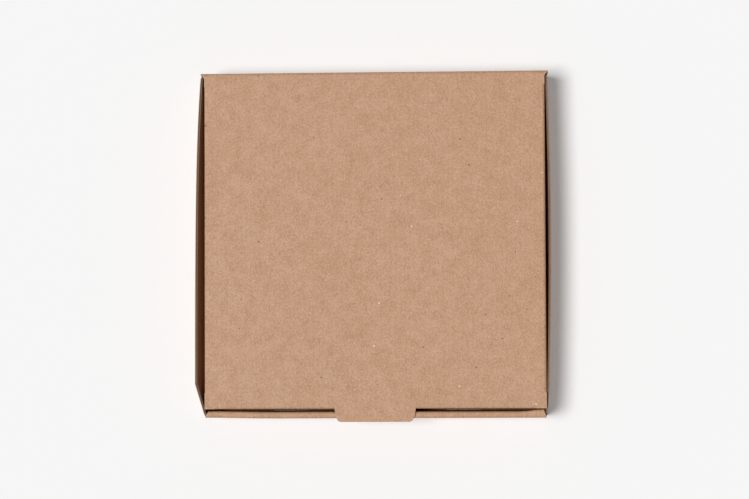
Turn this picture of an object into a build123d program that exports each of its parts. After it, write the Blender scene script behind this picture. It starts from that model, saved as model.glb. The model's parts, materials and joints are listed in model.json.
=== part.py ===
from build123d import *
from math import cos, exp, pi, radians, sin, sqrt
import os

# Pizza box: one die-cut blank of corrugated board, folded up.
# The base, its four walls and the lid are a single sheet.  The lid is a node
# of its own because it turns on the crease along the top of the back wall.
# Origin: middle of the base's underside.  +Z up, +Y to the hinge, -Y to the
# front, where the lid's tab laps over the front wall.

# ---------- driving dimensions, mm ----------
base_width = 244.0      # between the side creases
tray_depth = 243.6      # front face to back face
box_height = 40.0       # floor to the top of the closed lid
board = 1.5             # E-flute board

# folds
bend_inside = 0.25      # inside radius of a creased fold
ply_gap = 0.05          # air between plies that are folded flat together

# tray
back_ear = 0.5          # back wall, past the side creases
front_inset = 2.0       # front wall's outer ply, in from the side creases
inner_inset = 4.2       # its inner ply, in from the side creases
foot_gap = 0.1          # air under the inner ply
corner_tab_length = 42.0
corner_tab_drop = 1.6   # corner tabs stop this far under the side walls
corner_tab_slant = 6.0
lock_offset = 62.0      # locking tabs, each side of the middle
lock_width = 24.0
lock_clear = 0.2

# lid
lid_inset = 2.0         # side folds, in from the tray's side creases
lid_front_clear = 2.1   # front fold, back from the front wall's inner ply
side_clear = 0.5        # air between the side walls' tops and the lid
tab_clear = 0.3         # air between the front wall's top fold and the tab
side_flap_lift = 6.0    # side flaps' lower edges, off the floor
side_flap_front = 18.0  # their front ends, back from the front face
side_flap_rear = 10.0   # their rear ends, forward of the back face
side_flap_slant = 10.0
front_flap_lift = 8.0
front_flap_inset = 7.0  # its ends, in from the lid's sides
front_flap_slant = 8.0
flap_lean = 3.0         # degrees that the lid's flaps lean inwards
flap_corner = 8.0       # radius of the flaps' free corners
tab_width = 57.4
tab_overhang = 2.5      # past the front wall's face
tab_taper = 1.5         # each side of the tab draws in by this much
tab_corner = 3.5
ear_length = 3.5        # the lid flares over this length to the back crease

# hinge crease
score = 0.8             # thickness of the crushed board
bead_radius = 0.5       # middle of the crease, which stays with the tray
bead_clear = 0.2
swing_clear = 0.26      # between the panels' ends as the lid swings

# How far the side walls' top edges stand out from their base creases.  The
# left wall springs out towards the front, as far as a crease near the corner;
# the right wall only bows.  Both are drawn in where the front wall holds them.
corner_pull = 1.3
left_crease = 24.5      # back from the front face
left_ear = 0.45
left_spring = 4.7
spring_length = 55.0
right_crease = 20.0
right_bow = 2.05
bow_share = 0.92        # of the tray's depth
bow_points = 7

# ---------- what follows from them ----------
bend_outside = bend_inside + board
half_depth = tray_depth / 2
half_base = base_width / 2
half_back = half_base + back_ear
half_front = half_base - front_inset
half_inner = half_base - inner_inset
half_lid = half_base - lid_inset
half_tab = tab_width / 2
half_flap = half_lid - front_flap_inset

lid_under = box_height - board
roll_top = lid_under - tab_clear
side_height = lid_under - side_clear
roll_depth = 3 * board + 2 * ply_gap
roll_inner = roll_depth - half_depth
corner_back = half_depth - board - 2 * ply_gap - bend_outside
corner_front = bend_outside + board + ply_gap - half_depth
corner_tab_top = side_height - corner_tab_drop
corner_tab_end = half_base - corner_tab_length

# The hinge line runs along the middle of the board, half way round the fold.
bend_middle = bend_inside + board / 2
hinge_y = half_depth - bend_outside + bend_middle * sqrt(0.5)
hinge_z = box_height - bend_outside + bend_middle * sqrt(0.5)
face_to_hinge = half_depth - hinge_y
back_wall_top = hinge_z - face_to_hinge - swing_clear - ply_gap
panel_end = hinge_y - face_to_hinge - swing_clear

lid_front = roll_inner + lid_front_clear
tab_tip = -half_depth - tab_overhang
tab_length = lid_front - tab_tip
notch_drop = tab_length + 2 * bend_outside - bend_middle * pi / 2
side_front = side_flap_front - half_depth
side_rear = half_depth - side_flap_rear
side_fold = half_lid - bend_outside
front_fold = lid_front + bend_outside


def left_lean(y):
    """Outward offset of the left wall's top edge at depth y."""
    return left_ear + left_spring * (1 - exp((y - half_depth) / spring_length))


def right_lean(y):
    """Outward offset of the right wall's top edge at depth y."""
    return right_bow * sin(pi * (half_depth - y) / (bow_share * tray_depth))


def no_lean(y):
    """Offset at the base crease, which is straight."""
    return 0.0


def bend(centre, radius, start, end, flip=1):
    """Arc about a fold's centre, between two directions in degrees."""
    points = []
    for angle in (start, (start + end) / 2, end):
        a = radians(angle)
        points.append((flip * (centre[0] + radius * cos(a)), centre[1] + radius * sin(a)))
    return ThreePointArc(*points)


# ---------- side walls ----------
def wall_strip(lean, crease_y, pull):
    """Plan of the +X side wall and its corner tabs, as one bent strip."""
    step = (corner_back - crease_y) / (bow_points - 1)
    depths = [corner_back - i * step for i in range(bow_points)]
    outer = [(half_base + lean(y), y) for y in depths]
    inner = [(x - board, y) for x, y in outer]
    rear = (outer[0][0] - bend_outside, corner_back)
    front = (half_base - pull - bend_outside, corner_front)
    with BuildSketch() as strip:
        with BuildLine():
            bend(rear, bend_outside, 90, 0)
            Spline(*outer)
            Line(outer[-1], (front[0] + bend_outside, front[1]))
            bend(front, bend_outside, 0, -90)
            Polyline(
                (front[0], front[1] - bend_outside),
                (corner_tab_end, front[1] - bend_outside),
                (corner_tab_end, front[1] - bend_inside),
                (front[0], front[1] - bend_inside),
            )
            bend(front, bend_inside, -90, 0)
            Line((front[0] + bend_inside, front[1]), inner[-1])
            Spline(*reversed(inner))
            bend(rear, bend_inside, 0, 90)
            Polyline(
                (rear[0], rear[1] + bend_inside),
                (corner_tab_end, rear[1] + bend_inside),
                (corner_tab_end, rear[1] + bend_outside),
                (rear[0], rear[1] + bend_outside),
            )
        make_face()
    return strip.sketch


def side_wall(lean, crease_y):
    """+X side wall, from the base's edge up, with a corner tab at each end."""
    with BuildPart() as wall:
        # the wall and its tabs, from straight at the base to bowed at the top
        with BuildSketch(Plane.XY.offset(bend_outside)):
            add(wall_strip(no_lean, crease_y, 0))
        with BuildSketch(Plane.XY.offset(side_height)):
            add(wall_strip(lean, crease_y, corner_pull))
        loft(ruled=True)

        # corner tabs are cut lower than the wall, with slanted free ends
        past = corner_tab_end - board
        slant_end = corner_tab_end + corner_tab_slant
        for y, outward in ((corner_front, 1), (corner_back, -1)):
            with BuildSketch(Plane.XZ.offset(-y)):
                with BuildLine():
                    Polyline(
                        (past, 0),
                        (slant_end, 0),
                        (slant_end, bend_outside),
                        (corner_tab_end, bend_outside + corner_tab_slant),
                        (corner_tab_end, corner_tab_top - corner_tab_slant),
                        (slant_end, corner_tab_top),
                        (half_base + bend_outside, corner_tab_top),
                        (half_base + bend_outside, box_height),
                        (past, box_height),
                        close=True,
                    )
                make_face()
            extrude(amount=outward * 2 * bend_outside, mode=Mode.SUBTRACT)

        # the fold at the base
        centre = (half_base - bend_outside, bend_outside)
        with BuildSketch(Plane.XZ.offset(-corner_front)):
            with BuildLine():
                bend(centre, bend_outside, -90, 0)
                Line((half_base, bend_outside), (half_base - board, bend_outside))
                bend(centre, bend_inside, 0, -90)
                Line((centre[0], board), (centre[0], 0))
            make_face()
        extrude(amount=corner_front - corner_back)
    return wall.part


with BuildPart() as right_side:
    add(side_wall(right_lean, right_crease - half_depth))

with BuildPart() as left_side:
    add(side_wall(left_lean, left_crease - half_depth))
    mirror(about=Plane.YZ, mode=Mode.REPLACE)


# ---------- tray ----------
with BuildPart() as tray:
    # base, with the two slots that hold the front wall's inner ply down
    with BuildSketch():
        Rectangle(base_width - 2 * bend_outside, tray_depth - 2 * bend_outside)
        with Locations(*[(s * lock_offset, roll_inner - board / 2) for s in (-1, 1)]):
            Rectangle(
                lock_width + 2 * lock_clear,
                board + 2 * lock_clear,
                mode=Mode.SUBTRACT,
            )
    extrude(amount=board)

    # back wall, up to the crushed crease that the lid turns on
    foot = (half_depth - bend_outside, bend_outside)
    with BuildSketch(Plane.YZ):
        with BuildLine():
            bend(foot, bend_outside, -90, 0)
            Polyline(
                (half_depth, bend_outside),
                (half_depth, back_wall_top),
                (hinge_y + score / 2, hinge_z - bead_radius - bead_clear),
                (hinge_y + score / 2, hinge_z),
                (hinge_y - score / 2, hinge_z),
                (hinge_y - score / 2, hinge_z - bead_radius - bead_clear),
                (half_depth - board, back_wall_top),
                (half_depth - board, bend_outside),
            )
            bend(foot, bend_inside, 0, -90)
            Line((foot[0], board), (foot[0], 0))
        make_face()
        with Locations((hinge_y, hinge_z)):
            Circle(bead_radius)
    extrude(amount=half_back, both=True)

    # front wall: up, over and down again, round the side walls' corner tabs
    low = (half_depth - bend_outside, bend_outside)
    high = (half_depth - bend_outside, roll_top - bend_outside)
    over = (-roll_inner + bend_outside, roll_top - bend_outside)
    inner_foot = board + foot_gap
    with BuildSketch(Plane.YZ):
        with BuildLine():
            bend(low, bend_outside, -90, 0, flip=-1)
            Line((-half_depth, low[1]), (-half_depth, high[1]))
            bend(high, bend_outside, 0, 90, flip=-1)
            Line((-high[0], roll_top), (-over[0], roll_top))
            bend(over, bend_outside, 90, 180, flip=-1)
            Polyline(
                (roll_inner, over[1]),
                (roll_inner, inner_foot),
                (roll_inner - board, inner_foot),
                (roll_inner - board, over[1]),
            )
            bend(over, bend_inside, 180, 90, flip=-1)
            Line((-over[0], roll_top - board), (-high[0], roll_top - board))
            bend(high, bend_inside, 90, 0, flip=-1)
            Line((board - half_depth, high[1]), (board - half_depth, low[1]))
            bend(low, bend_inside, 0, -90, flip=-1)
            Line((-low[0], board), (-low[0], 0))
        make_face()
    extrude(amount=half_front, both=True)

    # the inner ply is narrower, and the ends of the top fold slant in to it
    with BuildSketch(Plane.XY.offset(bend_outside)):
        with Locations(*[(s * (half_inner + board), roll_inner) for s in (-1, 1)]):
            Rectangle(2 * board, 2 * board + 2 * ply_gap)
    extrude(amount=roll_top, mode=Mode.SUBTRACT)
    with BuildSketch(Plane.XY.offset(high[1])):
        for s in (-1, 1):
            with BuildLine():
                Polyline(
                    (s * half_front, board / 2 - half_depth),
                    (s * half_inner, roll_inner - board / 2),
                    (s * half_inner, roll_inner + board),
                    (s * (half_front + board), roll_inner + board),
                    (s * (half_front + board), board / 2 - half_depth),
                    close=True,
                )
            make_face()
    extrude(amount=2 * bend_outside, mode=Mode.SUBTRACT)

    # locking tabs on the inner ply's lower edge
    with BuildSketch(Plane.XY.offset(lock_clear)):
        with Locations(*[(s * lock_offset, roll_inner - board / 2) for s in (-1, 1)]):
            Rectangle(lock_width, board)
    extrude(amount=2 * board)

    add(left_side.part)
    add(right_side.part)

tray.part.label = "tray"


# ---------- lid ----------
def flap_section(edge, lift, flip=1):
    """Section of a panel's folded edge and the flap that hangs from it."""
    centre = (edge - bend_outside, box_height - bend_outside)
    lean = radians(flap_lean)
    across = (cos(lean), -sin(lean))
    down = (-sin(lean), -cos(lean))
    length = (box_height - bend_outside - lift) / cos(lean)

    def place(radius, along):
        x = centre[0] + radius * across[0] + along * down[0]
        z = centre[1] + radius * across[1] + along * down[1]
        return (flip * x, z)

    with BuildSketch() as section:
        with BuildLine():
            bend(centre, bend_outside, 90, -flap_lean, flip)
            Polyline(
                place(bend_outside, 0),
                place(bend_outside, length),
                place(bend_inside, length),
                place(bend_inside, 0),
            )
            bend(centre, bend_inside, -flap_lean, 90, flip)
            Line((flip * centre[0], lid_under), (flip * centre[0], box_height))
        make_face()
    return section.sketch


def flap_outline(start, end, lift, slant):
    """Face-on outline of a flap that narrows downwards, with round corners."""
    with BuildSketch() as outline:
        with BuildLine():
            Polyline(
                (start, box_height + board),
                (start, box_height - bend_outside),
                (start + slant, lift),
                (end - slant, lift),
                (end, box_height - bend_outside),
                (end, box_height + board),
                close=True,
            )
        make_face()
        fillet(outline.vertices().group_by(Axis.Y)[0], flap_corner)
    return outline.sketch


with BuildPart() as side_flap:
    # +X flap: its section run along the lid, trimmed to the flap's outline
    with BuildSketch(Plane.XZ.offset(-side_rear)):
        add(flap_section(half_lid, side_flap_lift))
    extrude(amount=side_rear - side_front)
    with BuildSketch(Plane.YZ):
        add(flap_outline(side_front, side_rear, side_flap_lift, side_flap_slant))
    extrude(amount=half_base, mode=Mode.INTERSECT)

with BuildPart() as front_flap:
    with BuildSketch(Plane.YZ):
        add(flap_section(-lid_front, front_flap_lift, flip=-1))
    extrude(amount=half_flap, both=True)
    with BuildSketch(Plane.XZ):
        add(flap_outline(-half_flap, half_flap, front_flap_lift, front_flap_slant))
    extrude(amount=half_depth, mode=Mode.INTERSECT)
    # the tab is cut out of this flap, which leaves a notch of its shape
    with BuildSketch(Plane.XZ):
        with BuildLine():
            Polyline(
                (-half_tab, box_height + board),
                (-half_tab, box_height - bend_outside),
                (tab_taper - half_tab, box_height - notch_drop),
                (half_tab - tab_taper, box_height - notch_drop),
                (half_tab, box_height - bend_outside),
                (half_tab, box_height + board),
                close=True,
            )
        notch = make_face()
        fillet(notch.vertices().group_by(Axis.Y)[0], tab_corner)
    extrude(amount=half_depth, mode=Mode.SUBTRACT)

with BuildPart() as lid:
    # panel, ending in a crushed lip that is hollowed to fit round the bead
    with BuildSketch(Plane.YZ):
        lip_end = hinge_y - bead_radius - bead_clear
        with BuildLine():
            Polyline(
                (tab_tip, lid_under),
                (tab_tip, box_height),
                (panel_end, box_height),
                (panel_end + board / 4, hinge_z + score / 2),
                (hinge_y, hinge_z + score / 2),
                (hinge_y, hinge_z - score / 2),
                (panel_end + board / 4, hinge_z - score / 2),
                (panel_end, lid_under),
                close=True,
            )
        make_face()
        with Locations((hinge_y, hinge_z)):
            Circle(bead_radius + bead_clear, mode=Mode.SUBTRACT)
    extrude(amount=half_back, both=True)

    # its outline: straight sides that flare out to the back crease, and the
    # tab in the middle of the front edge
    with BuildSketch(Plane.XY.offset(lid_under - board)):
        with BuildLine():
            Polyline(
                (-half_lid, lid_front),
                (-half_tab, lid_front),
                (tab_taper - half_tab, tab_tip),
                (half_tab - tab_taper, tab_tip),
                (half_tab, lid_front),
                (half_lid, lid_front),
                (half_lid, half_depth - ear_length),
                (half_back, half_depth),
                (-half_back, half_depth),
                (-half_lid, half_depth - ear_length),
                close=True,
            )
        outline = make_face()
        fillet(outline.vertices().group_by(Axis.Y)[0], tab_corner)
    extrude(amount=3 * board, mode=Mode.INTERSECT)

    # the edges that are folded give way to the flaps' folds
    with BuildSketch(Plane.XY.offset(lid_under - board)):
        for s in (-1, 1):
            with Locations((s * (side_fold + board), (side_front + side_rear) / 2)):
                Rectangle(2 * board, side_rear - side_front)
            with Locations((s * (half_flap + half_tab) / 2, front_fold - board)):
                Rectangle(half_flap - half_tab, 2 * board)
    extrude(amount=3 * board, mode=Mode.SUBTRACT)
    add(front_flap.part)
    add(side_flap.part)
    add(side_flap.part.mirror(Plane.YZ))

lid.part.label = "lid"

os.makedirs("parts", exist_ok=True)
export_step(tray.part, "parts/tray.step")
export_step(lid.part, "parts/lid.step")
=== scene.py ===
# %% [markdown]
# # A plain kraft pizza box
# The whole box is one die-cut blank of corrugated board, creased and folded.
# This script builds that board the way it is made: two thin kraft liners with
# a fluted paper between them, carried along each panel and round each fold.
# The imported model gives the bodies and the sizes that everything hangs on.

# %% Load the frame
import json
import math
import bpy
import bmesh
import numpy as np
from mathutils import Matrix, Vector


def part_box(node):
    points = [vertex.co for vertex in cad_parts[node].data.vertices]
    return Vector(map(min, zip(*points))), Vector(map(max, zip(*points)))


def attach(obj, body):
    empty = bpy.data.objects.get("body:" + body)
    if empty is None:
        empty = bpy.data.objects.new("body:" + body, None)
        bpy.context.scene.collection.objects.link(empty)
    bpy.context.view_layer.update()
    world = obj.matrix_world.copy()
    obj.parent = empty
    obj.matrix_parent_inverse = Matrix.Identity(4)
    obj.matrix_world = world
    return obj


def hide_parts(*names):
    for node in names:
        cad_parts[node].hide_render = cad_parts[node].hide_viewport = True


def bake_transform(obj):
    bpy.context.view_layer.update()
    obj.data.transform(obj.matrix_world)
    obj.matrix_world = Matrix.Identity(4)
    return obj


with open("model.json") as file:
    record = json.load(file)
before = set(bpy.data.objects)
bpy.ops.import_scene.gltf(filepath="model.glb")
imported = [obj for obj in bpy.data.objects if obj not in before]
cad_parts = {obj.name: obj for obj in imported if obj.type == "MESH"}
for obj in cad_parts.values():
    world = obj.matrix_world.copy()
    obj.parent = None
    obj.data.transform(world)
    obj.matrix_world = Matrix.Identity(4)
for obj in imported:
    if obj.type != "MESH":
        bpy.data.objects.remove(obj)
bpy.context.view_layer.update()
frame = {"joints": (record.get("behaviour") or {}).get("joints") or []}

# %% [markdown]
# Sizes are read off the two nodes wherever a box can give them.  The rest are
# the board and the folds, in millimetres, as a carton maker would list them.
# Working in millimetres keeps the numbers readable; one factor turns the
# finished points into Blender's metres.

# %% Sizes of the board and the box
MM = 0.001
BOARD = 1.5            # E-flute board
LINER = 0.2            # each kraft liner
MEDIUM = 0.14          # the fluted paper between the liners
FLUTE = 3.39           # flute pitch, crest to crest
BEND_IN = 0.25         # radius inside a fold
BEND_OUT = BEND_IN + BOARD
BEND_MID = BEND_IN + BOARD / 2
PLY = 0.05             # air between plies that lie together

tray_low, tray_high = (np.array(c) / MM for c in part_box("tray"))
lid_low, lid_high = (np.array(c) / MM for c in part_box("lid"))
HALF_DEPTH = tray_high[1]
HEIGHT = lid_high[2]
FLAP_FOOT = lid_low[2]
TAB_TIP = lid_low[1]
HALF_BASE = 122.0                 # outer faces of the side walls, at their foot
HALF_BACK = HALF_BASE + 0.5       # the back wall has small ears
HALF_FRONT = HALF_BASE - 2.0      # outer ply of the front wall
HALF_INNER = HALF_BASE - 4.2      # its inner ply, between the side walls
HALF_LID = HALF_BASE - 2.0
LID_UNDER = HEIGHT - BOARD
ROLL_TOP = LID_UNDER - 0.3        # top of the roll-over front wall
WALL_TOP = LID_UNDER - 0.5        # top of the side walls
ROLL_INNER = 3 * BOARD + 2 * PLY - HALF_DEPTH
LID_FRONT = ROLL_INNER + 2.1
CORNER_BACK = HALF_DEPTH - BOARD - 2 * PLY - BEND_OUT
CORNER_FRONT = BEND_OUT + BOARD + PLY - HALF_DEPTH

hinge = frame["joints"][0]
HINGE_Y, HINGE_Z = hinge["pos_m"][1] / MM, hinge["pos_m"][2] / MM
FACE_TO_HINGE = HALF_DEPTH - HINGE_Y
CREASE_ON_WALL, CREASE_ON_LID = 0.31, 0.26    # how far the crushed strip runs on
BACK_TOP = HINGE_Z - FACE_TO_HINGE - CREASE_ON_WALL
PANEL_END = HINGE_Y - FACE_TO_HINGE - CREASE_ON_LID
print("tray", np.round(tray_high - tray_low, 1), "mm; lid", np.round(lid_high - lid_low, 1), "mm")
print(f"hinge at y {HINGE_Y:.2f} mm, z {HINGE_Z:.2f} mm")

# %% [markdown]
# A panel is mapped from the flat blank: u runs across the flutes, v along
# them, and w goes through the board from the inside face to the outside.
# Each panel gives one function that turns (u, v, w) into a point of the
# folded box.  The same function then places both liners and the medium, so
# that the layers stay together round every fold.


# %% A mesher for corrugated board
OUTSIDE, INSIDE, FLUTED, CUT = range(4)     # the four papers, in this order
FLUTE_STEPS = 8                             # points along each wave
SHARP = math.radians(40)


class Sheet:
    """Gathers the layers of several panels into one mesh."""

    def __init__(self):
        self.points, self.blank, self.faces, self.slots = [], [], [], []
        self.count = 0

    def slab(self, u, v, low, high, place, slot, keep=None):
        """Adds a closed slab over a grid, from depth low to depth high."""
        rows, columns = u.shape
        size = rows * columns
        for depth in (low, high):
            depth = depth + np.zeros_like(u)
            self.points.append(np.stack(place(u, v, depth), -1).reshape(-1, 3))
            flat = np.stack((u, v, depth), -1).reshape(-1, 3)
            self.blank.append(flat)
        kept = np.ones((rows - 1, columns - 1), bool) if keep is None else keep
        edge = np.pad(kept, 1)
        i, j = np.nonzero(kept)
        a = self.count + i * columns + j
        quad = np.stack((a, a + columns, a + columns + 1, a + 1), 1)
        walls = []
        for di, dj, p, q in ((-1, 0, 0, 3), (1, 0, 1, 2), (0, -1, 0, 1), (0, 1, 3, 2)):
            open_side = ~edge[i + 1 + di, j + 1 + dj]
            p, q = quad[open_side, p], quad[open_side, q]
            walls.append(np.stack((p, q, q + size, p + size), 1))
        walls = np.concatenate(walls)
        self.faces += [quad, quad + size, walls]
        self.slots += [slot] * (2 * len(quad)) + [CUT] * len(walls)
        self.count += 2 * size

    def panel(self, spread, across, along, place, keep=None):
        """Adds both liners and the medium of one panel.

        spread turns grid shares into blank (u, v); across and along are the
        shares at which the liners are sampled.
        """
        u, v = spread(*np.meshgrid(across, along, indexing="ij"))
        cells = None
        if keep:
            cells = keep((u[:-1, :-1] + u[1:, 1:]) / 2, (v[:-1, :-1] + v[1:, 1:]) / 2)
        self.slab(u, v, 0, LINER, place, INSIDE, cells)
        self.slab(u, v, BOARD - LINER, BOARD, place, OUTSIDE, cells)
        fine = np.linspace(0, 1, max(3, int(np.ptp(u) / FLUTE * FLUTE_STEPS)))
        u, v = spread(*np.meshgrid(fine, along, indexing="ij"))
        if keep:
            cells = keep((u[:-1, :-1] + u[1:, 1:]) / 2, (v[:-1, :-1] + v[1:, 1:]) / 2)
        swing = BOARD / 2 - LINER - MEDIUM / 2
        middle = BOARD / 2 + swing * np.sin(2 * np.pi * u / FLUTE)
        self.slab(u, v, middle - MEDIUM / 2, middle + MEDIUM / 2, place, FLUTED, cells)

    def build(self, name, materials):
        """Makes the Blender object, in metres."""
        mesh = bpy.data.meshes.new(name)
        points = np.concatenate(self.points) * MM
        mesh.from_pydata(points.tolist(), [], np.concatenate(self.faces).tolist())
        for material in materials:
            mesh.materials.append(material)
        mesh.polygons.foreach_set("material_index", self.slots)
        flat = mesh.attributes.new("blank", "FLOAT_VECTOR", "POINT")
        flat.data.foreach_set("vector", np.concatenate(self.blank).ravel())
        solid = bmesh.new()
        solid.from_mesh(mesh)
        loose = [v for v in solid.verts if not v.link_faces]
        bmesh.ops.delete(solid, geom=loose, context="VERTS")
        bmesh.ops.recalc_face_normals(solid, faces=solid.faces)
        solid.to_mesh(mesh)
        solid.free()
        mesh.shade_smooth()
        mesh.set_sharp_from_angle(angle=SHARP)
        made = bpy.data.objects.new(name, mesh)
        bpy.context.scene.collection.objects.link(made)
        print(f"{name}: {len(mesh.polygons)} faces")
        return made


print(f"layers: {LINER} mm liner, {BOARD - 2 * LINER:.1f} mm of flutes, {LINER} mm liner")

# %% [markdown]
# A panel's grid needs no more points than its shape asks for: a flat one takes
# few, and a fold or a rounded corner gets extra shares just where it bends.


# %% Grid helpers
def shares(count, *extra):
    """Even shares from 0 to 1, with some extra ones put in."""
    return np.unique(np.round(np.concatenate((np.linspace(0, 1, count), extra)), 9))


def straight(u0, u1, v0, v1):
    """Spread of a plain rectangle of the blank."""
    return lambda s, t: (u0 + s * (u1 - u0), v0 + t * (v1 - v0))


def ease(x):
    """Smooth step from 0 to 1."""
    x = np.clip(x, 0, 1)
    return x * x * (3 - 2 * x)


print("shares of a grid with one extra line:", shares(3, 0.1))

# %% [markdown]
# A creased fold is a quarter circle between two flats.  A small turtle walks
# along the middle of the board, forward or round a bend, and any distance
# along its walk gives a place and the direction that faces outwards.


# %% A turtle for folded sections
def walk(start, heading, moves, side=1):
    """Section of folded board: moves are lengths, or (degrees, radius)."""
    legs, at, angle, gone = [], np.array(start, float), math.radians(heading), 0.0
    for move in moves:
        if isinstance(move, tuple):
            turn, radius = math.radians(move[0]), move[1]
            way = math.copysign(1, turn)
            centre = at + way * radius * np.array((-math.sin(angle), math.cos(angle)))
            length = abs(turn) * radius
            legs.append((gone, length, centre, angle, way / radius))
            angle += turn
            at = centre + way * radius * np.array((math.sin(angle), -math.cos(angle)))
        else:
            length = move
            legs.append((gone, length, at.copy(), angle, 0.0))
            at = at + length * np.array((math.cos(angle), math.sin(angle)))
        gone += length

    def place(s, w):
        """Point at distance s along the board, w up from the inside face."""
        a, b = np.zeros_like(s), np.zeros_like(s)
        for number, (begin, length, point, turned, curve) in enumerate(legs):
            here = s >= begin - 1e-9 if number else np.ones_like(s, bool)
            d = s[here] - begin
            heading_here = turned + d * curve
            out_a, out_b = side * np.sin(heading_here), -side * np.cos(heading_here)
            off = w[here] - BOARD / 2
            if curve:
                a[here] = point[0] + np.sin(heading_here) / curve + off * out_a
                b[here] = point[1] - np.cos(heading_here) / curve + off * out_b
            else:
                a[here] = point[0] + d * math.cos(turned) + off * out_a
                b[here] = point[1] + d * math.sin(turned) + off * out_b
        return a, b

    marks = [leg[0] / gone for leg in legs] + [1.0]
    bends = []
    for begin, length, _, _, curve in legs:
        if curve:
            bends += list(np.linspace(begin, begin + length, 9) / gone)
    return place, gone, marks + bends


print(f"a square fold takes up {walk((0, 0), 0, [(90, BEND_MID)])[1]:.2f} mm of board")

# %% [markdown]
# The paper is kraft: unbleached pulp, tan, matt, with long fibres, cloudy
# patches and the odd bark fleck.  Its liners are drawn to a tan of mid
# lightness.  Every pattern is laid out in millimetres on the flat panels, so
# it bends round the folds with the board as it does on a real sheet.


# %% Colour and node helpers
def linear(code, alpha=1.0):
    """sRGB hex to the linear colour that shaders take."""
    tones = [int(code[i:i + 2], 16) / 255 for i in (1, 3, 5)]
    return [t / 12.92 if t <= 0.04045 else ((t + 0.055) / 1.055) ** 2.4 for t in tones] + [alpha]


def node(tree, kind, links=None, **settings):
    """Adds one node, with its settings, input values and incoming links."""
    made = tree.nodes.new("ShaderNode" + kind)
    for name, value in settings.items():
        setattr(made, name, value)
    for key, value in (links or {}).items():
        if isinstance(value, bpy.types.NodeSocket):
            tree.links.new(value, made.inputs[key])
        else:
            made.inputs[key].default_value = value
    return made


def tinted(tree, colour, share, tone, blend="MIX"):
    """Mixes tone into a colour by a share between 0 and 1."""
    mix = node(tree, "Mix", {0: share, 6: colour, 7: tone}, data_type="RGBA", blend_type=blend)
    return mix.outputs[2]


def ramp(tree, value, low, high, bottom=0.0, top=1.0):
    """Maps low..high of a value to bottom..top, clamped."""
    links = {0: value, 1: low, 2: high, 3: bottom, 4: top}
    return node(tree, "MapRange", links).outputs[0]


print("mid grey in linear light:", [round(t, 3) for t in linear("#808080")])

# %% [markdown]
# Kraft liner is machine-made paper: pressed smooth but not coated, so its
# sheen is broad and weak.  Clouds 9 mm and 30 mm across are uneven pulp.  Real
# fibres are finer than a tenth of a millimetre, so they are drawn about 1 mm
# across to show at all.  The faint stripes at the flute pitch are the
# washboard that the glued medium pulls into a thin liner.


# %% Kraft liner
def kraft_liner(name, tan, pale, brown, washboard):
    """Unbleached kraft paper, on the blank's own coordinates."""
    material = bpy.data.materials.new(name)
    material.use_nodes = True
    tree = material.node_tree
    shader = tree.nodes["Principled BSDF"]
    blank = node(tree, "Attribute", attribute_name="blank").outputs["Vector"]

    def noise(scale, detail, stretch=(1, 1, 1), offset=(0, 0, 0)):
        links = {"Vector": blank, "Scale": stretch, "Location": offset}
        spot = node(tree, "Mapping", links).outputs[0]
        links = {"Vector": spot, "Scale": scale, "Detail": detail, "Roughness": 0.6}
        return node(tree, "TexNoise", links).outputs[0]

    clouds = noise(1 / 30, 2)
    patches = noise(1 / 9, 3, offset=(40, 7, 0))
    dapple = noise(1 / 2.6, 2, offset=(3, 90, 0))
    fibres = noise(0.9, 2, stretch=(1.4, 0.8, 1), offset=(11, 5, 0))
    grain = noise(0.8, 1, offset=(70, 31, 0))

    colour = tinted(tree, linear(tan), ramp(tree, clouds, 0.3, 0.7, 0, 0.35), linear(pale))
    colour = tinted(tree, colour, ramp(tree, patches, 0.4, 0.8, 0, 0.22), linear(brown))
    colour = tinted(tree, colour, ramp(tree, dapple, 0.5, 0.8, 0, 0.55), linear(pale))
    colour = tinted(tree, colour, ramp(tree, fibres, 0.45, 0.7, 0, 0.75), linear(brown))
    colour = tinted(tree, colour, ramp(tree, grain, 0.5, 0.72, 0, 0.7), linear(pale))

    # the odd bark fleck and the odd bright shive, about a millimetre across
    for period, gate, tone, shift in ((14, 0.055, "#7A4E33", 0), (17, 0.045, "#E9CFB0", 55)):
        spot = node(tree, "Mapping", {"Vector": blank, "Location": (shift, shift, 0)})
        links = {"Vector": spot.outputs[0], "Scale": 1 / period}
        cell = node(tree, "TexVoronoi", links)
        fleck = ramp(tree, cell.outputs["Distance"], gate * 0.5, gate, 1, 0)
        colour = tinted(tree, colour, fleck, linear(tone))

    across = node(tree, "SeparateXYZ", {0: blank}).outputs[0]
    phase = node(tree, "Math", {0: across, 1: 2 * math.pi / FLUTE}, operation="MULTIPLY").outputs[0]
    flutes = node(tree, "Math", {0: phase}, operation="SINE").outputs[0]
    stripe = ramp(tree, flutes, -1, 1, 0, washboard)
    colour = tinted(tree, colour, stripe, linear(brown))
    tree.links.new(colour, shader.inputs["Base Color"])

    height = node(tree, "Math", {0: grain, 1: 0.35}, operation="MULTIPLY").outputs[0]
    for share, source in ((0.8, dapple), (0.5, fibres), (1.6, patches)):
        links = {0: source, 1: share, 2: height}
        height = node(tree, "Math", links, operation="MULTIPLY_ADD").outputs[0]
    links = {0: flutes, 1: washboard * 0.5, 2: height}
    height = node(tree, "Math", links, operation="MULTIPLY_ADD").outputs[0]
    bump = node(tree, "Bump", {"Height": height, "Strength": 0.35, "Distance": 0.12 * MM})
    tree.links.new(bump.outputs[0], shader.inputs["Normal"])
    rough = ramp(tree, patches, 0.3, 0.7, 0.52, 0.66)
    tree.links.new(rough, shader.inputs["Roughness"])
    shader.inputs["Specular IOR Level"].default_value = 0.45
    print("material", name)
    return material


kraft_outside = kraft_liner("kraft_liner_outside", "#B88D6B", "#C8A084", "#9A7050", 0.06)
kraft_inside = kraft_liner("kraft_liner_inside", "#B08562", "#BF9576", "#98694A", 0.16)

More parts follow.
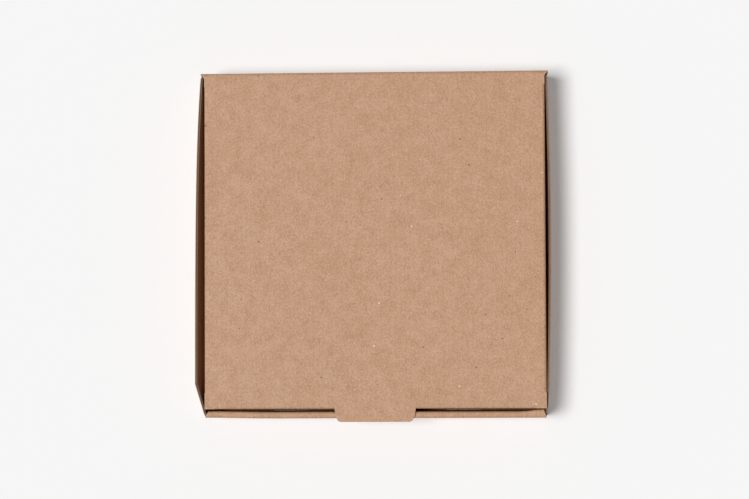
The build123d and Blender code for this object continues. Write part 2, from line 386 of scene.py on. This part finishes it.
# %% [markdown]
# The medium is a coarser, browner paper, and the knife leaves the board's
# edges greyish and fuzzy: both need only grain, because so little of them
# shows.


# %% Fluting medium and cut edges
def raw_paper(name, tone, dark, grain_mm):
    """Paper seen on its edge or inside the board."""
    material = bpy.data.materials.new(name)
    material.use_nodes = True
    tree = material.node_tree
    shader = tree.nodes["Principled BSDF"]
    blank = node(tree, "Attribute", attribute_name="blank").outputs["Vector"]
    links = {"Vector": blank, "Scale": 1 / grain_mm, "Detail": 3.0}
    grain = node(tree, "TexNoise", links).outputs[0]
    colour = tinted(tree, linear(tone), ramp(tree, grain, 0.35, 0.7), linear(dark))
    tree.links.new(colour, shader.inputs["Base Color"])
    bump = node(tree, "Bump", {"Height": grain, "Strength": 0.5, "Distance": 0.1 * MM})
    tree.links.new(bump.outputs[0], shader.inputs["Normal"])
    shader.inputs["Roughness"].default_value = 0.8
    shader.inputs["Specular IOR Level"].default_value = 0.25
    print("material", name)
    return material


fluting_medium = raw_paper("fluting_medium", "#A5805E", "#8A684A", 1.2)
knife_cut = raw_paper("knife_cut_edge", "#A39184", "#84705F", 0.7)
PAPERS = [kraft_outside, kraft_inside, fluting_medium, knife_cut]

# %% [markdown]
# The tray starts with the flat base, which has two slots just behind the
# front wall.  They hold the locking tabs of the roll-over front wall.

# %% Base
tray_sheet = Sheet()
LOCK_AT, LOCK_HALF, LOCK_AIR = 62.0, 12.0, 0.2      # place, half width and clearance
BASE_X, BASE_Y = HALF_BASE - BEND_OUT, HALF_DEPTH - BEND_OUT
slot_low, slot_high = ROLL_INNER - BOARD - LOCK_AIR, ROLL_INNER + LOCK_AIR


def base_place(u, v, w):
    return u, v, BOARD - w


def outside_slots(u, v):
    in_slot = np.abs(np.abs(u) - LOCK_AT) < LOCK_HALF + LOCK_AIR
    return ~(in_slot & (v > slot_low) & (v < slot_high))


slot_marks = [0.5 + 0.5 * s * (LOCK_AT + e * (LOCK_HALF + LOCK_AIR)) / BASE_X
              for s in (-1, 1) for e in (-1, 1)]
depth_marks = [0.5 + 0.5 * y / BASE_Y for y in (slot_low, slot_high)]
tray_sheet.panel(straight(-BASE_X, BASE_X, -BASE_Y, BASE_Y), shares(25, *slot_marks),
                 shares(9, *depth_marks), base_place, outside_slots)
print(f"base {2 * BASE_X:.1f} x {2 * BASE_Y:.1f} mm between its creases")

# %% [markdown]
# The back wall is one fold and one flat, as wide as its ears.

# %% Back wall
FOLD = BEND_MID * math.pi / 2
FOLD_UP = (90, BEND_MID)
back_section, back_length, back_marks = walk((BASE_Y, BOARD / 2), 0,
                                             [FOLD_UP, BACK_TOP - BEND_OUT])


def back_place(u, v, w):
    y, z = back_section(v, w)
    return u, y, z


tray_sheet.panel(straight(-HALF_BACK, HALF_BACK, 0, back_length), shares(25),
                 shares(4, *back_marks), back_place)
print(f"back wall {2 * HALF_BACK:.1f} x {back_length:.1f} mm")

# %% [markdown]
# The front wall goes up, over the side walls' corner tabs and down again to
# lock in the base.  Its inner ply is narrower, its left end is set back a
# little, and near its right end the top fold has sprung inwards.

# %% Front wall
SET_BACK, SPRUNG_IN, SPRUNG_UP = 0.7, 1.5, 0.35
FOOT_GAP = 0.1
roll = [FOLD_UP, ROLL_TOP - 2 * BEND_OUT, FOLD_UP, 3 * BOARD + 2 * PLY - 2 * BEND_OUT, FOLD_UP]
inner_ply = ROLL_TOP - BEND_OUT - BOARD - FOOT_GAP
front_section, front_length, front_marks = walk((BASE_Y, BOARD / 2), 0, roll + [inner_ply])
over = front_length - inner_ply
rise = ROLL_TOP - 2 * BEND_OUT + FOLD
fold_out, fold_in = rise + FOLD / 2, over - FOLD / 2


def front_place(u, v, w):
    """Front wall, with its left end set back and its right end sprung."""
    a, z = front_section(v, w)
    share = np.clip((z - BEND_OUT) / ROLL_TOP, 0, 1)
    a = a - SET_BACK * ease((-70 - u) / 50) * share
    inner = ease((v - fold_out) / (fold_in - fold_out)) * (1 - ease((v - over) / 16))
    sprung = ease((u - 102) / 16) * inner
    return u, -(a - SPRUNG_IN * sprung), z + SPRUNG_UP * sprung


def front_spread(s, t):
    """The wall's blank narrows over the top fold to the inner ply."""
    v = t * front_length
    half = HALF_FRONT - (HALF_FRONT - HALF_INNER) * ease((v - rise) / (over - rise))
    return (2 * s - 1) * half, v


tray_sheet.panel(front_spread, shares(41), shares(5, *front_marks), front_place)
for s in (-1, 1):
    lock = straight(s * LOCK_AT - LOCK_HALF, s * LOCK_AT + LOCK_HALF,
                    front_length, front_length + BOARD - LOCK_AIR + FOOT_GAP)
    tray_sheet.panel(lock, shares(5), shares(2), front_place)
print(f"front wall {front_length:.1f} mm from crease to inner foot")

# %% [markdown]
# Each side wall is straight at its crease and free along its top, so it
# stands out by an amount that changes along its length.  The left one springs
# out furthest and is creased where it turns back in to the front corner.

# %% Side walls and corner tabs
CORNER_PULL = 1.3                     # how far a wall's top is drawn in at the front
TAB_REACH = 42.0 - BEND_OUT
TAB_TOP = WALL_TOP - 1.6 - BEND_OUT
TAB_SLANT = 6.0
LEFT_CREASE, RIGHT_CREASE = 24.5 - HALF_DEPTH, 20.0 - HALF_DEPTH


def left_lean(y):
    """Springs out quickly from the back corner, then settles."""
    return 0.45 + 4.7 * (1 - np.exp((y - HALF_DEPTH) / 55))


def right_lean(y):
    """Bows out in the middle and comes back before the front corner."""
    return 2.05 * np.sin(np.pi * (HALF_DEPTH - y) / (0.92 * 2 * HALF_DEPTH))


def side_wall(side, lean, crease_y):
    """Adds one side wall and its two corner tabs to the tray."""

    def offset(y):
        share = np.clip((crease_y - y) / (crease_y - CORNER_FRONT), 0, 1)
        turned = lean(np.array(crease_y)) * (1 - share) - CORNER_PULL * share
        return np.where(y < crease_y, turned, lean(np.maximum(y, crease_y)))

    def wall_place(u, v, w):
        angle = np.clip(u / BEND_MID, 0, math.pi / 2)
        up = np.maximum(u - FOLD, 0)
        radius = BEND_IN + w
        x = HALF_BASE - BEND_OUT + radius * np.sin(angle)
        x = x + offset(v) * up / (WALL_TOP - BEND_OUT)
        return side * x, v, BEND_OUT - radius * np.cos(angle) + up

    def tab_place(end, corner):
        def place(u, v, w):
            share = (u - FOLD) / (WALL_TOP - BEND_OUT)
            centre = HALF_BASE - BEND_OUT + offset(np.array(corner)) * share
            angle = np.clip(v / BEND_MID, 0, math.pi / 2)
            radius = BEND_IN + w
            x = centre + radius * np.cos(angle) - np.maximum(v - FOLD, 0)
            return side * x, corner + end * radius * np.sin(angle), BEND_OUT + u - FOLD
        return place

    def tab_spread(s, t):
        v = t * (TAB_REACH + FOLD)
        nip = np.clip((v - TAB_REACH - FOLD + TAB_SLANT) / TAB_SLANT, 0, 1) * TAB_SLANT
        return FOLD + nip + s * (TAB_TOP - 2 * nip), v

    tall = FOLD + WALL_TOP - BEND_OUT
    bends = [FOLD / tall * k / 6 for k in range(1, 7)]
    kink = (crease_y - CORNER_FRONT) / (CORNER_BACK - CORNER_FRONT)
    tray_sheet.panel(straight(0, tall, CORNER_FRONT, CORNER_BACK), shares(7, *bends),
                     shares(41, kink - 0.004, kink, kink + 0.004), wall_place)
    for end, corner in ((-1, CORNER_FRONT), (1, CORNER_BACK)):
        reach = TAB_REACH + FOLD
        bends = [FOLD / reach * k / 6 for k in range(1, 7)]
        tray_sheet.panel(tab_spread, shares(5), shares(5, 1 - TAB_SLANT / reach, *bends),
                         tab_place(end, corner))
    print(f"side wall {side:+d} leans out {offset(np.array([60.0, 0.0, -60.0])).round(1)} mm")


side_wall(1, right_lean, RIGHT_CREASE)
side_wall(-1, left_lean, LEFT_CREASE)
tray_board = tray_sheet.build("tray_board", PAPERS)
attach(tray_board, "tray")
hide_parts("tray")

# %% [markdown]
# The lid's panel is nearly flat: board this size keeps a gentle wave, which
# dies away at the crease.  Its edges are raw at the corners and folded
# between them.

# %% Lid panel and tab
lid_sheet = Sheet()
FOLD_X, FOLD_Y = HALF_LID - BEND_OUT, LID_FRONT + BEND_OUT
FLAP_FRONT, FLAP_REAR = 18.0 - HALF_DEPTH, HALF_DEPTH - 10.0    # ends of a side flap
HALF_FLAP = HALF_LID - 7.0                                      # front flap
HALF_TAB, TAB_DRAW, TAB_ROUND = 28.7, 1.5, 3.5                  # width, taper, corner
EAR = 3.5                                                       # length of the rear ears


def wave(x, y):
    """Height of the panel's gentle wave, none at the crease."""
    far = ease((110 - y) / 40)
    return far * (0.22 * np.sin(x / 41 + 0.6) * np.sin(y / 53) - 0.12 * np.cos(x / 23 - y / 37))


def lid_place(u, v, w):
    return u, v, LID_UNDER + w + wave(u, v)


def tab_reach(u, full):
    """How far the tab's outline stands out from its root, at u across it."""
    inset = HALF_TAB - np.abs(u)
    slope = np.clip(inset / TAB_DRAW, 0, 1) * full
    into = np.clip((inset - TAB_DRAW) / TAB_ROUND, 0, 1)
    drop = TAB_ROUND * (1 - np.sqrt(1 - (1 - into) ** 2))
    return np.minimum(slope, full - drop)


def tab_spread(s, t):
    u = (2 * s - 1) * HALF_TAB
    return u, FOLD_Y - t * tab_reach(u, FOLD_Y - TAB_TIP)


def rear_spread(side):
    def spread(s, t):
        v = FLAP_REAR + t * (PANEL_END - FLAP_REAR)
        flare = np.clip((v - (HALF_DEPTH - EAR)) / EAR, 0, 1) * (HALF_BACK - HALF_LID)
        return side * (FOLD_X + s * (BEND_OUT + flare)), v
    return spread


across = shares(49, 0.5 - 0.5 * HALF_FLAP / FOLD_X, 0.5 + 0.5 * HALF_FLAP / FOLD_X)
lid_sheet.panel(straight(-FOLD_X, FOLD_X, FOLD_Y, PANEL_END), across, shares(41), lid_place)
for side in (-1, 1):
    lid_sheet.panel(straight(side * FOLD_X, side * HALF_LID, FOLD_Y, FLAP_FRONT),
                    shares(2), shares(4), lid_place)
    lid_sheet.panel(rear_spread(side), shares(2), shares(7), lid_place)
    lid_sheet.panel(straight(side * HALF_FLAP, side * HALF_LID, LID_FRONT, FOLD_Y),
                    shares(3), shares(2), lid_place)
corner_steps = (0.4, 0.8, 1.2, 1.5, 1.8, 2.2, 2.8, 3.6, 4.4, 5.0)    # mm in from the end
tab_steps = [e / (2 * HALF_TAB) for e in corner_steps]
tab_across = shares(17, *tab_steps, *[1 - e for e in tab_steps])
lid_sheet.panel(tab_spread, tab_across, shares(7), lid_place)
print(f"lid {2 * HALF_LID:.1f} mm wide, tab {2 * HALF_TAB:.1f} mm wide")

# %% [markdown]
# The flaps fold down a little past square, so that they slip inside the
# walls.  Their free corners are rounded and their ends slant, so that they
# find their way in.

# %% Side flaps of the lid
LEAN = 3.0                      # degrees past square
SIDE_SLANT, FRONT_SLANT = 10.0, 8.0
CORNER_ROUND = 8.0
ROUND_STEPS = (0.05, 0.3, 0.8, 1.6, 2.8, 4.4, 6.0, 8.0)     # mm up from the foot
FOLD_DOWN = (-90 - LEAN, BEND_MID)
SLOPE = math.cos(math.radians(LEAN))
side_section, side_length, side_marks = walk(
    (FOLD_X, HEIGHT - BOARD / 2), 0,
    [FOLD_DOWN, (HEIGHT - BEND_OUT - FLAP_FOOT) / SLOPE], side=-1)


def nipped(u, length, slant):
    """How far a flap's end draws in at distance u down from its fold."""
    down = np.clip((u - FOLD) / (length - FOLD), 0, 1)
    near_foot = np.clip((u - length + CORNER_ROUND) / CORNER_ROUND, 0, 1)
    return slant * down + CORNER_ROUND * (1 - np.sqrt(1 - near_foot ** 2))


def side_flap_spread(side):
    def spread(s, t):
        u = s * side_length
        nip = nipped(u, side_length, SIDE_SLANT)
        return side * (FOLD_X + u), FLAP_FRONT + nip + t * (FLAP_REAR - FLAP_FRONT - 2 * nip)
    return spread


def side_flap_place(side):
    def place(u, v, w):
        x, z = side_section(np.abs(u) - FOLD_X, w)
        return side * x, v, z + wave(side * x, v)
    return place


foot_steps = [1 - e / side_length for e in ROUND_STEPS]
for side in (-1, 1):
    lid_sheet.panel(side_flap_spread(side), shares(5, *side_marks, *foot_steps),
                    shares(33), side_flap_place(side))
print(f"side flaps {side_length:.1f} mm deep, {FLAP_REAR - FLAP_FRONT:.1f} mm long")

# %% [markdown]
# The tab is cut out of the front flap, so the flap is made in three parts:
# two ends, and a middle that starts at the notch the tab left, which has the
# tab's own outline.

# %% Front flap of the lid
FRONT_FOOT = FLAP_FOOT + 2.0
front_flap, flap_length, flap_marks = walk(
    (-FOLD_Y, HEIGHT - BOARD / 2), 0,
    [FOLD_DOWN, (HEIGHT - BEND_OUT - FRONT_FOOT) / SLOPE], side=-1)


def front_flap_place(u, v, w):
    a, z = front_flap(FOLD_Y - v, w)
    return u, -a, z + wave(u, FOLD_Y)


def flap_end_spread(side):
    def spread(s, t):
        v = t * flap_length
        nip = nipped(v, flap_length, FRONT_SLANT)
        return side * (HALF_TAB + s * (HALF_FLAP - HALF_TAB - nip)), FOLD_Y - v
    return spread


def flap_middle_spread(s, t):
    u = (2 * s - 1) * HALF_TAB
    start = tab_reach(u, FOLD_Y - TAB_TIP)
    return u, FOLD_Y - start - t * (flap_length - start)


front_steps = [1 - e / flap_length for e in ROUND_STEPS]
for side in (-1, 1):
    lid_sheet.panel(flap_end_spread(side), shares(17), shares(3, *flap_marks, *front_steps),
                    front_flap_place)
lid_sheet.panel(flap_middle_spread, tab_across, shares(5), front_flap_place)
print(f"front flap {flap_length:.1f} mm deep, {2 * HALF_FLAP:.1f} mm wide")
lid_board = lid_sheet.build("lid_board", PAPERS)
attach(lid_board, "lid")
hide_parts("lid")

# %% [markdown]
# The hinge is a score: a crushed line where the board bends.  It belongs to
# both panels, so it is a strip of its own.

# %% Hinge crease
CRUSHED = 0.35                  # share of the thickness lost in the middle
crease_sheet = Sheet()
to_arc, from_arc = HEIGHT - BEND_OUT - BACK_TOP, HALF_DEPTH - BEND_OUT - PANEL_END
crease, crease_length, crease_marks = walk(
    (HALF_DEPTH - BOARD / 2, BACK_TOP), 90, [to_arc, (90, BEND_MID), from_arc])


def crease_place(u, v, w):
    """The board thins to about two thirds in the middle of the crease."""
    thin = 1 - CRUSHED * np.sin(np.pi * np.clip(v / crease_length, 0, 1)) ** 2
    y, z = crease(v, BOARD / 2 + (w - BOARD / 2) * thin)
    return u, y, z


def crease_spread(s, t):
    v = t * crease_length
    end = HALF_LID + np.clip((PANEL_END - HALF_DEPTH + EAR) / EAR, 0, 1) * (HALF_BACK - HALF_LID)
    half = HALF_BACK + (end - HALF_BACK) * ease((v - crease_length / 2) / (crease_length / 2))
    return (2 * s - 1) * half, v


crease_sheet.panel(crease_spread, shares(25), shares(13, *crease_marks), crease_place)
hinge_crease = crease_sheet.build("hinge_crease", PAPERS)
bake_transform(hinge_crease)
print(f"hinge crease {crease_length:.2f} mm from wall to lid")

# %% [markdown]
# The stage is a plain pale floor under a pale sky.  The camera and any gloss
# see both as one even light grey, while light and shadow still fall on the
# floor.  A seventh of the floor's grey is plain glow for those rays alone,
# which keeps the rim of the shadow clean.

# %% Floor
PALE = "#F6F6F6"


def backdrop_rays(tree):
    """1 for rays that show the backdrop: from the camera, a gloss or a clear body."""
    rays = node(tree, "LightPath").outputs
    some = node(tree, "Math", {0: rays["Is Camera Ray"], 1: rays["Is Glossy Ray"]},
                operation="MAXIMUM").outputs[0]
    return node(tree, "Math", {0: some, 1: rays["Is Transmission Ray"]},
                operation="MAXIMUM").outputs[0]


REACH = 4.0                     # metres from the middle of the floor to its edge
GLOW = 0.15
floor_mesh = bpy.data.meshes.new("floor")
corners = [(REACH * i, REACH * j, 0) for i, j in ((-1, -1), (1, -1), (1, 1), (-1, 1))]
floor_mesh.from_pydata(corners, [], [(0, 1, 2, 3)])
floor = bpy.data.objects.new("floor", floor_mesh)
bpy.context.scene.collection.objects.link(floor)
paint = bpy.data.materials.new("studio_floor")
paint.use_nodes = True
tree = paint.node_tree
matt = tree.nodes["Principled BSDF"]
matt.inputs["Base Color"].default_value = linear(PALE)
matt.inputs["Roughness"].default_value = 0.9
matt.inputs["Specular IOR Level"].default_value = 0.0
lift = node(tree, "Math", {0: backdrop_rays(tree), 1: GLOW}, operation="MULTIPLY").outputs[0]
glow = node(tree, "Emission", {"Color": linear(PALE), "Strength": 1.0})
surface = node(tree, "MixShader", {0: lift, 1: matt.outputs[0], 2: glow.outputs[0]})
tree.links.new(surface.outputs[0], tree.nodes["Material Output"].inputs["Surface"])
floor_mesh.materials.append(paint)
print("floor", 2 * REACH, "m across")

# %% [markdown]
# The sky gives a fifth of the light from all round, and the lamp the rest.
# Together they add up to plain light: a colour renders about as it is written.

# %% World
FILL = 0.2
world = bpy.data.worlds.new("studio")
bpy.context.scene.world = world
world.use_nodes = True
tree = world.node_tree
seen = backdrop_rays(tree)
fill = node(tree, "Background", {0: linear("#FFFFFF"), 1: FILL})
backdrop = node(tree, "Background", {0: linear(PALE), 1: 1.0})
mixed = node(tree, "MixShader", {0: seen, 1: fill.outputs[0], 2: backdrop.outputs[0]})
tree.links.new(mixed.outputs[0], tree.nodes["World Output"].inputs["Surface"])
print("fill", FILL)

# %% [markdown]
# One broad lamp stands far off to the left, steep enough that the box throws
# only a short soft shadow to its right.  It is as wide in the sky as a large
# softbox, which blurs the shadow's rim.

# %% Lamp
TILT, TURN = math.radians(20), math.radians(12)
key = bpy.data.lights.new("key", "SUN")
key.angle = math.radians(22)
key.energy = (1.0 - FILL) * math.pi / math.cos(TILT)
lamp = bpy.data.objects.new("key", key)
lamp.rotation_euler = (0.0, -TILT, TURN)
bpy.context.scene.collection.objects.link(lamp)
print(f"lamp {key.energy:.2f} W/m2, {math.degrees(key.angle):.0f} degrees wide")

# %% [markdown]
# The camera looks almost straight down from a metre and a half, a touch from
# the front and the right, through a long lens.

# %% Camera
lens = bpy.data.cameras.new("camera")
lens.lens, lens.sensor_width = 109.0, 36.0
camera = bpy.data.objects.new("camera", lens)
camera.location = (0.0807, -0.0658, 1.6293)
camera.rotation_euler = [math.radians(a) for a in (2.23, 2.914, -0.264)]
bpy.context.scene.collection.objects.link(camera)
bpy.context.scene.camera = camera
bpy.context.scene.view_settings.view_transform = "Standard"
print("camera at", [round(c, 3) for c in camera.location])
